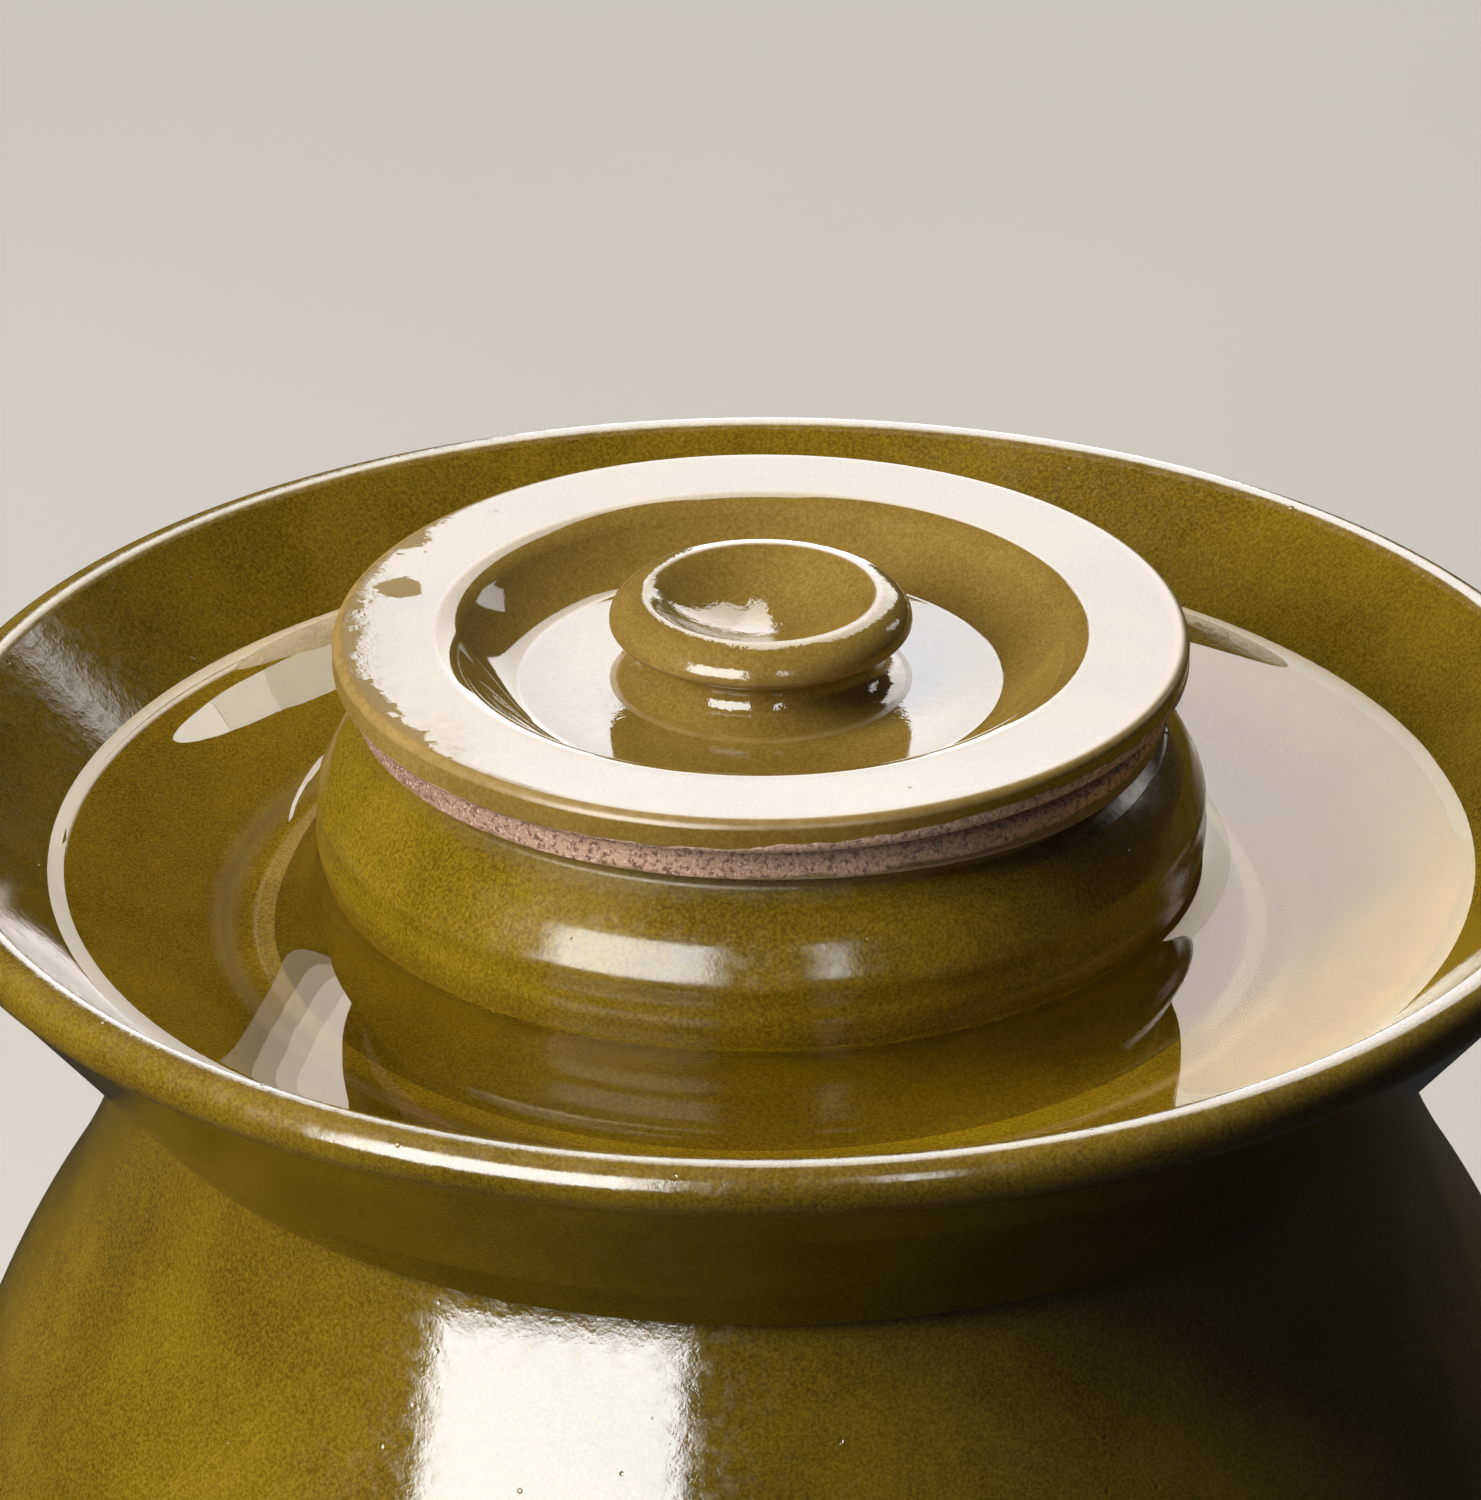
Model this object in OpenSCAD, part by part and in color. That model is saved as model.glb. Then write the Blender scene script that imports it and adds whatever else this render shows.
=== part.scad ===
// Water seal pickle jar in glazed stoneware. A flared tray round the mouth holds
// a moat of water, and a loose lid with a dished knob lies on the collar inside it.
// Millimetres. The origin is the centre of the foot on the table, and +Z is up.

/* [Body] */
// Height of the neck, where the tray and the collar are joined on
neck_z = 281.5; // [268:0.5:300]
// Diameter of the neck
neck_d = 207; // [202:1:212]
// Diameter of the belly
belly_d = 292; // [280:1:320]
// Height of the belly's widest line
belly_z = 141; // [125:1:155]
// Radius of the hollow sweep under the tray
neck_sweep = 112; // [100:1:124]
// Lean of the body at the neck from upright, in degrees
neck_lean = 10; // [8:0.5:12]
// Steepest lean of the shoulder from upright, in degrees
shoulder_lean = 32; // [30:0.5:34]
// Lean of the wall where it leaves the foot, in degrees
foot_lean = 32; // [28:1:40]
// Wall of the body
wall_t = 8; // [6:0.5:10]
// Floor of the body, above the foot
floor_t = 6; // [4:0.5:10]
// Thickness of the closed-in top that carries the collar
deck_t = 9; // [7:0.5:12]

/* [Foot] */
// Diameter of the turned foot
foot_d = 190; // [176:1:196]
// Height of the foot
foot_h = 8; // [6:0.5:12]
// Width of the ring that stands on the table
foot_ring_w = 10; // [7:0.5:14]
// Depth of the hollow inside the foot ring
foot_hollow = 3; // [1:0.5:3.5]
// How far the body stands out over the foot
foot_step = 1.5; // [0.5:0.5:3]

/* [Collar] */
// Diameter of the mouth
mouth_d = 114; // [108:1:116]
// Width of the bare rim that the lid lies on
rim_w = 8.5; // [7:0.5:9.5]
// Height of the collar above the floor of the moat
collar_h = 62.5; // [56:0.5:72]
// Height of the bare band at the rim
band_h = 5.6; // [4:0.2:7]
// Depth of the hollow under the band
band_cut = 2.7; // [1.5:0.1:3.2]
// Drop from the rim to the hollow
cut_drop = 8.5; // [8:0.5:11]
// Diameter of the bulge
bulge_d = 145; // [141:1:148]
// Drop from the rim to the bulge
bulge_drop = 25.5; // [23:0.5:28]
// Drop from the rim to where the lines of the flare and the bulge meet
flare_drop = 20; // [17:0.5:21]
// Diameter of the waist under the bulge
waist_d = 137; // [133:1:139]
// Height of that waist above the floor of the moat
waist_h = 19; // [15:1:22]
// Diameter of the collar's root on the floor of the moat
root_d = 159; // [150:1:161]

/* [Tray] */
// Diameter over the lip
tray_d = 278; // [266:1:296]
// Height of the lip above the floor of the moat
tray_h = 45; // [41:0.5:50]
// Thickness of the rolled lip
lip_t = 7.7; // [6.5:0.1:9]
// Height of the rolled lip
lip_h = 8.6; // [7:0.1:10]
// Diameter of the floor of the moat
moat_floor_d = 165; // [163:1:172]
// Radius of the round corner under the tray
tray_round = 6.5; // [5:0.5:8]
// Lean of the tray's outside from upright, in degrees
tray_lean = 38; // [36:1:40]

/* [Water] */
// Depth of the water in the moat
water_h = 29; // [20:0.5:33]
// Gap between the water and the glaze, for a clear fit
water_gap = 0.3; // [0.2:0.1:0.6]

/* [Lid] */
// How far the lid stands out past the rim
lid_over = 3.75; // [2:0.25:5]
// Thickness of the lid at its edge
lid_t = 6; // [5:0.5:8]
// Depth of the well in the lid
well_depth = 8.4; // [6:0.2:11]
// Wall of the well at its top
well_wall = 5.5; // [4:0.5:8]
// Width of the sloping side of the well
well_slope = 12; // [8:0.5:16]
// Thickness of the well's floor
well_floor_t = 5.5; // [4:0.5:7]
// Play of the well in the mouth
lid_play = 0.8; // [0.5:0.1:1.5]

/* [Knob] */
// Diameter of the knob
knob_d = 44; // [38:0.5:50]
// Height of the knob above the floor of the well
knob_h = 15; // [12:0.5:18]
// Diameter of the knob's stem
stem_d = 36; // [32:0.2:37.6]
// How far the foot of the stem flares out over the floor of the well
stem_flare = 6.5; // [3:0.5:8]
// Diameter of the crest round the knob's dish
crest_d = 37.4; // [34:0.2:40]
// Depth of the dish in the knob
dish_depth = 6.5; // [4:0.5:8]

/* [Hidden] */
$fn = 120;
glaze = [0.45, 0.34, 0.07];
glaze_light = [0.55, 0.43, 0.12];
bare_clay = [0.60, 0.45, 0.38];
water_tint = [0.75, 0.80, 0.78, 0.5];

// Points in each curve, and how full a curve is between its two end tangents
curve_steps = 14;
corner_steps = 5;
round_pull = 0.6;
corner_pull = 0.55;

neck_r = neck_d / 2;
belly_r = belly_d / 2;
foot_r = foot_d / 2;
mouth_r = mouth_d / 2;
rim_r = mouth_r + rim_w;
rim_z = neck_z + collar_h;
bulge_r = bulge_d / 2;
waist_r = waist_d / 2;
root_r = root_d / 2;
moat_floor_r = moat_floor_d / 2;

// Small rounds and steps that a potter's finger leaves
rim_round = 1.2;
root_step = 0.3;
mouth_swell = 3.5;
floor_round = 16;
ceiling_round = 24;
foot_bevel = 2;
bead_square = 2.7;

// The curve from a to b that leaves and arrives along lines through the corner q
function bezier(a, b, c, d, t) =
    pow(1 - t, 3) * a + 3 * pow(1 - t, 2) * t * b + 3 * (1 - t) * t * t * c + t * t * t * d;
function corner_curve(a, q, b, pull, steps) = [for (i = [0:steps])
    bezier(a, a + pull * (q - a), b + pull * (q - b), b, i / steps)];
// The curve from a to b that is upright at both ends
function upright_curve(a, b, steps) = [for (i = [0:steps])
    bezier(a, [a[0], (a[1] + b[1]) / 2], [b[0], (a[1] + b[1]) / 2], b, i / steps)];
function arc(centre, r, from, to, steps) = [for (i = [0:steps])
    centre + r * [cos(from + (to - from) * i / steps), sin(from + (to - from) * i / steps)]];
// A round with flattened sides, half_w by half_h, from one angle to another
function bead(centre, half_w, half_h, from, to, steps) = [for (i = [0:steps])
    let (a = from + (to - from) * i / steps)
    centre + [half_w * flattened(cos(a)), half_h * flattened(sin(a))]];
function flattened(x) = sign(x) * pow(abs(x), 2 / bead_square);
function tail(p) = [for (i = [1:len(p) - 1]) p[i]];
function reversed(p) = [for (i = [len(p) - 1:-1:0]) p[i]];
// Where the line through a and b is at height z
function on_line(a, b, z) = a + (b - a) * (z - a[1]) / (b[1] - a[1]);
// A path shifted sideways by s, to the right of the way it runs
function side(p, i) = let (d = p[min(i + 1, len(p) - 1)] - p[max(i - 1, 0)])
    [d[1], -d[0]] / norm(d);
function shifted(p, s) = [for (i = [0:len(p) - 1]) p[i] + s * side(p, i)];

// Outside of the body from the foot up to the neck
body_low = [foot_r + foot_step, foot_h];
body_low_q = [belly_r, foot_h + (belly_r - body_low[0]) / tan(foot_lean)];
belly = [belly_r, belly_z];
sweep_centre = [neck_r, neck_z] + neck_sweep * [cos(neck_lean), sin(neck_lean)];
sweep_end = sweep_centre - neck_sweep * [cos(shoulder_lean), sin(shoulder_lean)];
shoulder_q = [belly_r, sweep_end[1] - (belly_r - sweep_end[0]) / tan(shoulder_lean)];
body_outside = concat(
    corner_curve(body_low, body_low_q, belly, round_pull, curve_steps),
    tail(corner_curve(belly, shoulder_q, sweep_end, round_pull, curve_steps)),
    tail(arc(sweep_centre, neck_sweep, 180 + shoulder_lean, 180 + neck_lean, curve_steps)));

// The hollow of the body follows its outside, with a round floor and ceiling
floor_z = foot_h + floor_t;
ceiling_z = neck_z - deck_t;
body_inside = [for (p = shifted(body_outside, -wall_t))
    if (p[1] > floor_z + floor_round && p[1] < ceiling_z - ceiling_round) p];
inside_end = len(body_inside) - 1;
floor_q = on_line(body_inside[0], body_inside[1], floor_z);
ceiling_q = on_line(body_inside[inside_end], body_inside[inside_end - 1], ceiling_z);
body_hollow = concat([[0, floor_z]],
    corner_curve(floor_q - [floor_round, 0], floor_q, body_inside[0], corner_pull, corner_steps),
    tail(body_inside),
    tail(corner_curve(body_inside[inside_end], ceiling_q, ceiling_q - [ceiling_round, 0],
        corner_pull, corner_steps)),
    [[0, ceiling_z]]);

// Outside of the collar from the floor of the moat up to the bare band
band_z = rim_z - band_h;
cut_r = rim_r - band_cut;
cut_z = rim_z - cut_drop;
collar_outside = concat(
    corner_curve([root_r, neck_z + root_step], [waist_r, neck_z + root_step],
        [waist_r, neck_z + waist_h], corner_pull, curve_steps),
    tail(upright_curve([waist_r, neck_z + waist_h], [bulge_r, rim_z - bulge_drop], curve_steps)),
    tail(corner_curve([bulge_r, rim_z - bulge_drop], [bulge_r, rim_z - flare_drop], [cut_r, cut_z],
        round_pull, curve_steps)),
    tail(corner_curve([cut_r, cut_z], [cut_r, band_z], [rim_r, band_z], corner_pull, corner_steps)));
collar_inside = concat(
    upright_curve([mouth_r, neck_z], [mouth_r + mouth_swell, rim_z - bulge_drop], curve_steps),
    tail(upright_curve([mouth_r + mouth_swell, rim_z - bulge_drop],
        [mouth_r, rim_z - rim_round], curve_steps)));

// The tray is a cone inside and outside, between a round corner and a rolled lip
lip = [tray_d / 2 - lip_t / 2, neck_z + tray_h - lip_h / 2];
lip_under = 62;
lip_inner = 133;
tray_root = [moat_floor_r, neck_z + root_step];
tray_root_rise = 4;
tray_root_run = 6;
lip_bead = bead(lip, lip_t / 2, lip_h / 2, -lip_under, lip_inner, 2 * curve_steps);
tray_inside = concat(
    [lip_bead[2 * curve_steps]],
    corner_curve(tray_root + [tray_root_run, tray_root_rise], tray_root + [tray_root_run / 2, 0],
        tray_root, corner_pull, corner_steps));
tray_outside = concat(
    arc([neck_r, neck_z + tray_round], tray_round, -90, -tray_lean, corner_steps),
    lip_bead);

// The water fills the moat between the collar and the tray, up to its own level
water_pool = concat(
    [[root_r + water_gap, neck_z]],
    shifted(collar_outside, water_gap),
    shifted(tray_inside, water_gap),
    [[moat_floor_r - water_gap, neck_z]]);

// Sizes of the lid follow the collar that it lies on
lid_r = rim_r + lid_over;
lid_top_z = rim_z + lid_t;
edge_round = 1.6;
skirt_r = mouth_r - lid_play;
skirt_taper = 0.8;
skirt_round = 4;
well_r = skirt_r - well_wall;
well_floor_r = well_r - well_slope;
well_floor_z = lid_top_z - well_depth;
well_under_z = well_floor_z - well_floor_t;
well_lip = 0.9;

// Heights on the knob, counted from the floor of the well
stem_share = 0.35;
knob_share = 0.70;
crest_w = 3.1;
crest_drop = 1.6;
knob_top_z = well_floor_z + knob_h;
knob_wide_z = well_floor_z + knob_share * knob_h;
stem_z = well_floor_z + stem_share * knob_h;

module jar_body() {
    color(glaze) difference() {
        rotate_extrude() polygon(concat([[0, foot_h]], body_outside, [[0, neck_z]]));
        rotate_extrude() polygon(body_hollow);
        translate([0, 0, ceiling_z - 1]) cylinder(r = mouth_r, h = deck_t + 2);
    }
}

module foot_ring() {
    hollow_r = foot_r - foot_ring_w;
    color(bare_clay) rotate_extrude() polygon([
        [0, foot_hollow], [hollow_r - foot_hollow, foot_hollow], [hollow_r, 0],
        [foot_r - foot_bevel, 0], [foot_r, foot_bevel], [foot_r, foot_h], [0, foot_h]]);
}

module mouth_collar() {
    color(glaze_light) rotate_extrude() polygon(concat(
        [[mouth_r, neck_z], [root_r, neck_z]],
        collar_outside,
        arc([rim_r - rim_round, rim_z - rim_round], rim_round, 0, 90, corner_steps),
        arc([mouth_r + rim_round, rim_z - rim_round], rim_round, 90, 180, corner_steps),
        tail(reversed(tail(collar_inside)))));
}

module water_tray() {
    color(glaze) rotate_extrude() polygon(concat(tray_outside, tail(tray_inside),
        [[moat_floor_r, neck_z]]));
}

module seal_water() {
    color(water_tint) intersection() {
        rotate_extrude() polygon(water_pool);
        translate([0, 0, neck_z]) cylinder(r = tray_d / 2, h = water_h);
    }
}

module lid_plate() {
    color(glaze) rotate_extrude() polygon(concat(
        [[0, well_under_z]],
        corner_curve([skirt_r - skirt_taper - skirt_round, well_under_z],
            [skirt_r - skirt_taper, well_under_z],
            [skirt_r - skirt_taper, well_under_z + skirt_round], corner_pull, corner_steps),
        [[skirt_r, rim_z]],
        arc([lid_r - edge_round, rim_z + edge_round], edge_round, -90, 0, corner_steps),
        arc([lid_r - edge_round, lid_top_z - edge_round], edge_round, 0, 90, corner_steps),
        corner_curve([well_r + well_lip, lid_top_z], [well_r, lid_top_z],
            [well_r - well_lip / 2, lid_top_z - well_lip], corner_pull, corner_steps),
        tail(corner_curve([well_r - well_lip / 2, lid_top_z - well_lip],
            [well_floor_r + well_slope / 3, well_floor_z], [well_floor_r, well_floor_z],
            round_pull, curve_steps)),
        [[0, well_floor_z]]));
}

module lid_knob() {
    stem_r = stem_d / 2;
    knob_r = knob_d / 2;
    crest_r = crest_d / 2;
    dish_edge = [crest_r - crest_w, knob_top_z - crest_drop];
    bowl_depth = dish_depth - crest_drop;
    bowl_r = (dish_edge[0] * dish_edge[0] + bowl_depth * bowl_depth) / (2 * bowl_depth);
    bowl_angle = asin(dish_edge[0] / bowl_r);
    crest_q = [dish_edge[0] + crest_drop / tan(bowl_angle), knob_top_z];
    color(glaze_light) rotate_extrude() polygon(concat(
        [[0, well_floor_z], [stem_r + stem_flare, well_floor_z]],
        corner_curve([stem_r + stem_flare, well_floor_z + root_step], [stem_r, well_floor_z + root_step],
            [stem_r, stem_z], corner_pull, corner_steps),
        tail(upright_curve([stem_r, stem_z], [knob_r, knob_wide_z], curve_steps)),
        tail(corner_curve([knob_r, knob_wide_z], [knob_r, knob_top_z], [crest_r, knob_top_z],
            corner_pull, curve_steps)),
        tail(corner_curve([crest_r, knob_top_z], crest_q, dish_edge, corner_pull, corner_steps)),
        tail(arc([0, knob_top_z - dish_depth + bowl_r], bowl_r, bowl_angle - 90, -90, curve_steps))));
}

jar_body();
foot_ring();
mouth_collar();
water_tray();
seal_water();
lid_plate();
lid_knob();
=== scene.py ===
# Looks of the water seal pickle jar: turned surfaces, glazes, bare clay, water, light and camera.
# Lengths are in metres and angles in degrees, unless a name says otherwise.
import bpy
from math import asin, cos, degrees, exp, hypot, pi, radians, sin, tan
from mathutils import Matrix, Vector


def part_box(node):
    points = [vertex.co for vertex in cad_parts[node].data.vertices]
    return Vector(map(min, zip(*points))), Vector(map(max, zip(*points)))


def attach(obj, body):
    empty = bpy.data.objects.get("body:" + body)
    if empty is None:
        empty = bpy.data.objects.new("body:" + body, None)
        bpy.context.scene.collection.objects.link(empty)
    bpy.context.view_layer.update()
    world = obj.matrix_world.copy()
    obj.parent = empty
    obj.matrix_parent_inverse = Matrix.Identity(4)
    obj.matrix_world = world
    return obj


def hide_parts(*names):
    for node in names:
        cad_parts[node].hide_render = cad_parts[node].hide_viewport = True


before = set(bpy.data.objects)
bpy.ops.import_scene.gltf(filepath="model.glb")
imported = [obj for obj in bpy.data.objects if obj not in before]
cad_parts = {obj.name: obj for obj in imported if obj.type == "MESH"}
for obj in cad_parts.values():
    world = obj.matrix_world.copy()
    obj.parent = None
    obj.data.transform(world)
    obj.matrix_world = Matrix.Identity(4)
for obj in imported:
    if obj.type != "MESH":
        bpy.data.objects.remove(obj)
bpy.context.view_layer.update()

# Places that come from the frame
BODY_LOW, BODY_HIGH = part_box("jar_body")
FOOT_LOW, FOOT_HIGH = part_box("foot_ring")
COLLAR_LOW, COLLAR_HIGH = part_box("mouth_collar")
TRAY_LOW, TRAY_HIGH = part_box("water_tray")
WATER_LOW, WATER_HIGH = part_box("seal_water")
LID_LOW, LID_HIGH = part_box("lid_plate")
KNOB_LOW, KNOB_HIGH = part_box("lid_knob")

# Body
NECK_Z = BODY_HIGH[2]
NECK_R = 0.1035
BELLY_R = BODY_HIGH[0]
BELLY_Z = 0.141
NECK_SWEEP = 0.112
NECK_LEAN = 10
SHOULDER_LEAN = 32
FOOT_LEAN = 32
WALL = 0.008
FLOOR = 0.006
DECK = 0.009
FLOOR_ROUND = 0.016
CEILING_ROUND = 0.024

# Foot
FOOT_R = FOOT_HIGH[0]
FOOT_H = FOOT_HIGH[2]
FOOT_RING = 0.010
FOOT_HOLLOW = 0.003
FOOT_STEP = 0.0015
FOOT_BEVEL = 0.002

# Collar
MOUTH_R = 0.057
RIM_R = 0.0655
RIM_Z = COLLAR_HIGH[2]
BAND_H = 0.0056
BAND_CUT = 0.0027
CUT_DROP = 0.0085
BULGE_R = 0.0725
BULGE_DROP = 0.0255
FLARE_DROP = 0.018
FLARE_PULL = 0.8
WAIST_R = 0.0685
WAIST_H = 0.019
ROOT_R = COLLAR_HIGH[0]
ROOT_STEP = 0.0003
RIDGE = 0.0002
RIDGE_DROP = 0.023
RIDGE_SPAN = 0.0075
RIM_ROUND = 0.0012
MOUTH_SWELL = 0.0035

# Tray
TRAY_R = TRAY_HIGH[0]
TRAY_TOP = TRAY_HIGH[2]
LIP_W = 0.0077
LIP_H = 0.0086
LIP_SQUARE_OUT = 2.2
LIP_SQUARE_IN = 2.7
LIP_UNDER = 62
LIP_INNER = 133
MOAT_FLOOR_R = 0.0825
TRAY_ROUND = 0.0065
TRAY_LEAN = 38
TRAY_ROOT_RISE = 0.004
TRAY_ROOT_RUN = 0.006
POOL_R = 0.0878
MOAT_EDGE = 0.1155

# Water: how high it climbs the collar and the tray, how far that climb reaches, and how far it lies in the glaze
WATER_Z = WATER_HIGH[2]
COLLAR_CLIMB = 0.0013
TRAY_CLIMB = 0.0005
CLIMB_REACH = 0.0022
WETTING = 0.0003

# Lid, with the place of a rough spot in its glaze
LID_SPOT = (-0.0584, 0.0156, 0.350)
LID_R = LID_HIGH[0]
LID_TOP = LID_HIGH[2]
LID_EDGE_ROUND = 0.0016
SKIRT_R = 0.0562
SKIRT_TAPER = 0.0008
SKIRT_ROUND = 0.004
WELL_R = 0.0507
WELL_SLOPE = 0.012
WELL_DEPTH = 0.0084
WELL_FLOOR = 0.0055
WELL_LIP = 0.0030

# Knob
KNOB_R = KNOB_HIGH[0]
KNOB_TOP = KNOB_HIGH[2]
KNOB_FOOT = LID_TOP - WELL_DEPTH
KNOB_H = KNOB_TOP - KNOB_FOOT
STEM_R = 0.018
STEM_FLARE = 0.0065
CREST_R = 0.0187
CREST_W = 0.0031
CREST_DROP = 0.0016
DISH_DEPTH = 0.0065
STEM_SHARE = 0.35
KNOB_SHARE = 0.70
KNOB_STEP = 0.00002

# Fineness of the meshes
SEGMENTS = 288
CURVE_STEPS = 36
CORNER_STEPS = 12
ROUND_PULL = 0.6
CORNER_PULL = 0.55
SHARP = 50

# How far the turned walls stand off true circles
JAR_WOBBLE = 0.0005
LID_WOBBLE = 0.0003

# Where lid and rim stand apart, in degrees from +X, how wide, and by how much each gave way in drying
WARP_AT = 328
WARP_WIDE = 38
WARP_RISE = 0.0008
RIM_DIP = 0.0033
DIP_REACH = 0.016

# Turns per metre at which an outward bend begins to thin the glaze, and at which it is thinnest
BEND_FROM = 130
BEND_TO = 620


def mix(a, b, t):
    return (a[0] + (b[0] - a[0]) * t, a[1] + (b[1] - a[1]) * t)


def bezier(a, b, c, d, t):
    u = 1 - t
    return tuple(
        u**3 * a[k] + 3 * u * u * t * b[k] + 3 * u * t * t * c[k] + t**3 * d[k] for k in (0, 1)
    )


def corner_curve(a, q, b, pull=CORNER_PULL, steps=CORNER_STEPS):
    """The curve from a to b that leaves and arrives along lines through the corner q."""
    return [bezier(a, mix(a, q, pull), mix(b, q, pull), b, i / steps) for i in range(steps + 1)]


def upright_curve(a, b, steps=CURVE_STEPS):
    """The curve from a to b that is upright at both ends."""
    middle = (a[1] + b[1]) / 2
    return [bezier(a, (a[0], middle), (b[0], middle), b, i / steps) for i in range(steps + 1)]


def arc(centre, r, start, end, steps=CORNER_STEPS):
    turns = [radians(start + (end - start) * i / steps) for i in range(steps + 1)]
    return [(centre[0] + r * cos(t), centre[1] + r * sin(t)) for t in turns]


def flattened(x, square):
    return abs(x) ** (2 / square) * (1 if x > 0 else -1)


def bead(centre, half_w, half_h, start, end, steps=2 * CURVE_STEPS):
    """A round with flattened sides, more so on the inside, from one angle to another."""
    out = []
    for i in range(steps + 1):
        t = radians(start + (end - start) * i / steps)
        square = LIP_SQUARE_OUT if cos(t) > 0 else LIP_SQUARE_IN
        out.append((centre[0] + half_w * flattened(cos(t), square), centre[1] + half_h * flattened(sin(t), square)))
    return out


def line(a, b, steps=CORNER_STEPS):
    return [mix(a, b, i / steps) for i in range(steps + 1)]


def shifted(path, s):
    """A path shifted sideways by s, to the right of the way it runs."""
    out = []
    for i, p in enumerate(path):
        before, after = path[max(i - 1, 0)], path[min(i + 1, len(path) - 1)]
        run, rise = after[0] - before[0], after[1] - before[1]
        length = (run * run + rise * rise) ** 0.5
        out.append((p[0] + s * rise / length, p[1] - s * run / length))
    return out


def on_line(a, b, z):
    """Where the line through a and b is at height z."""
    return mix(a, b, (z - a[1]) / (b[1] - a[1]))


def joined(*paths):
    """One path from several, without the points that repeat."""
    out = []
    for path in paths:
        for p in path:
            if not out or abs(p[0] - out[-1][0]) + abs(p[1] - out[-1][1]) > 1e-7:
                out.append(p)
    if hypot(out[0][0] - out[-1][0], out[0][1] - out[-1][1]) < 1e-7:
        out.pop()
    return out


def body_outside():
    """Outside of the body from the foot up to the neck."""
    low = (FOOT_R + FOOT_STEP, FOOT_H)
    low_q = (BELLY_R, FOOT_H + (BELLY_R - low[0]) / tan(radians(FOOT_LEAN)))
    belly = (BELLY_R, BELLY_Z)
    neck, lean = radians(NECK_LEAN), radians(SHOULDER_LEAN)
    centre = (NECK_R + NECK_SWEEP * cos(neck), NECK_Z + NECK_SWEEP * sin(neck))
    sweep_end = (centre[0] - NECK_SWEEP * cos(lean), centre[1] - NECK_SWEEP * sin(lean))
    shoulder_q = (BELLY_R, sweep_end[1] - (BELLY_R - sweep_end[0]) / tan(lean))
    return joined(
        corner_curve(low, low_q, belly, ROUND_PULL, CURVE_STEPS),
        corner_curve(belly, shoulder_q, sweep_end, ROUND_PULL, CURVE_STEPS),
        arc(centre, NECK_SWEEP, 180 + SHOULDER_LEAN, 180 + NECK_LEAN, CURVE_STEPS),
    )


def body_profile():
    outside = body_outside()
    floor_z = FOOT_H + FLOOR
    ceiling_z = NECK_Z - DECK
    inside = [
        p
        for p in shifted(outside, -WALL)
        if floor_z + FLOOR_ROUND < p[1] < ceiling_z - CEILING_ROUND
    ]
    floor_q = on_line(inside[0], inside[1], floor_z)
    ceiling_q = on_line(inside[-1], inside[-2], ceiling_z)
    hollow = joined(
        corner_curve((floor_q[0] - FLOOR_ROUND, floor_z), floor_q, inside[0]),
        inside,
        corner_curve(inside[-1], ceiling_q, (ceiling_q[0] - CEILING_ROUND, ceiling_z)),
        [(MOUTH_R, ceiling_z)],
    )
    return joined(
        [(0, FOOT_H)], outside, line((NECK_R, NECK_Z), (MOUTH_R, NECK_Z)), hollow[::-1], [(0, floor_z)]
    )


def foot_profile():
    hollow_r = FOOT_R - FOOT_RING
    return joined(
        [(0, FOOT_HOLLOW)],
        corner_curve((hollow_r - FOOT_HOLLOW, FOOT_HOLLOW), (hollow_r - FOOT_HOLLOW / 2, 0), (hollow_r, 0)),
        corner_curve((FOOT_R - FOOT_BEVEL, 0), (FOOT_R, 0), (FOOT_R, FOOT_BEVEL)),
        line((FOOT_R, FOOT_BEVEL), (FOOT_R, FOOT_H)),
        [(0, FOOT_H)],
    )


def ridged(p):
    """A point of the collar with the potter's finger rings, which only cut into the round."""
    drop = RIM_Z - p[1] - RIDGE_DROP
    fade = max(0, 1 - (drop / RIDGE_SPAN) ** 2)
    return (p[0] - RIDGE * fade * (1 + sin(2 * pi * drop / RIDGE_SPAN)), p[1])


def collar_outside():
    """Outside of the collar from the floor of the moat up to the bare band."""
    bulge = (BULGE_R, RIM_Z - BULGE_DROP)
    waist = (WAIST_R, NECK_Z + WAIST_H)
    cut = (RIM_R - BAND_CUT, RIM_Z - CUT_DROP)
    band = (RIM_R, RIM_Z - BAND_H)
    thrown = joined(
        corner_curve((ROOT_R, NECK_Z + ROOT_STEP), (WAIST_R, NECK_Z + ROOT_STEP), waist, CORNER_PULL, CURVE_STEPS),
        upright_curve(waist, bulge),
        corner_curve(bulge, (BULGE_R, RIM_Z - FLARE_DROP), cut, FLARE_PULL, 2 * CURVE_STEPS),
    )
    return joined([ridged(p) for p in thrown], corner_curve(cut, (cut[0], band[1]), band))


def collar_profile():
    swell = (MOUTH_R + MOUTH_SWELL, RIM_Z - BULGE_DROP)
    return joined(
        [(MOUTH_R, NECK_Z), (ROOT_R, NECK_Z)],
        collar_outside(),
        line((RIM_R, RIM_Z - BAND_H), (RIM_R, RIM_Z - RIM_ROUND)),
        arc((RIM_R - RIM_ROUND, RIM_Z - RIM_ROUND), RIM_ROUND, 0, 90),
        line((RIM_R - RIM_ROUND, RIM_Z), (MOUTH_R + RIM_ROUND, RIM_Z)),
        arc((MOUTH_R + RIM_ROUND, RIM_Z - RIM_ROUND), RIM_ROUND, 90, 180),
        upright_curve((MOUTH_R, RIM_Z - RIM_ROUND), swell),
        upright_curve(swell, (MOUTH_R, NECK_Z)),
    )


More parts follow.
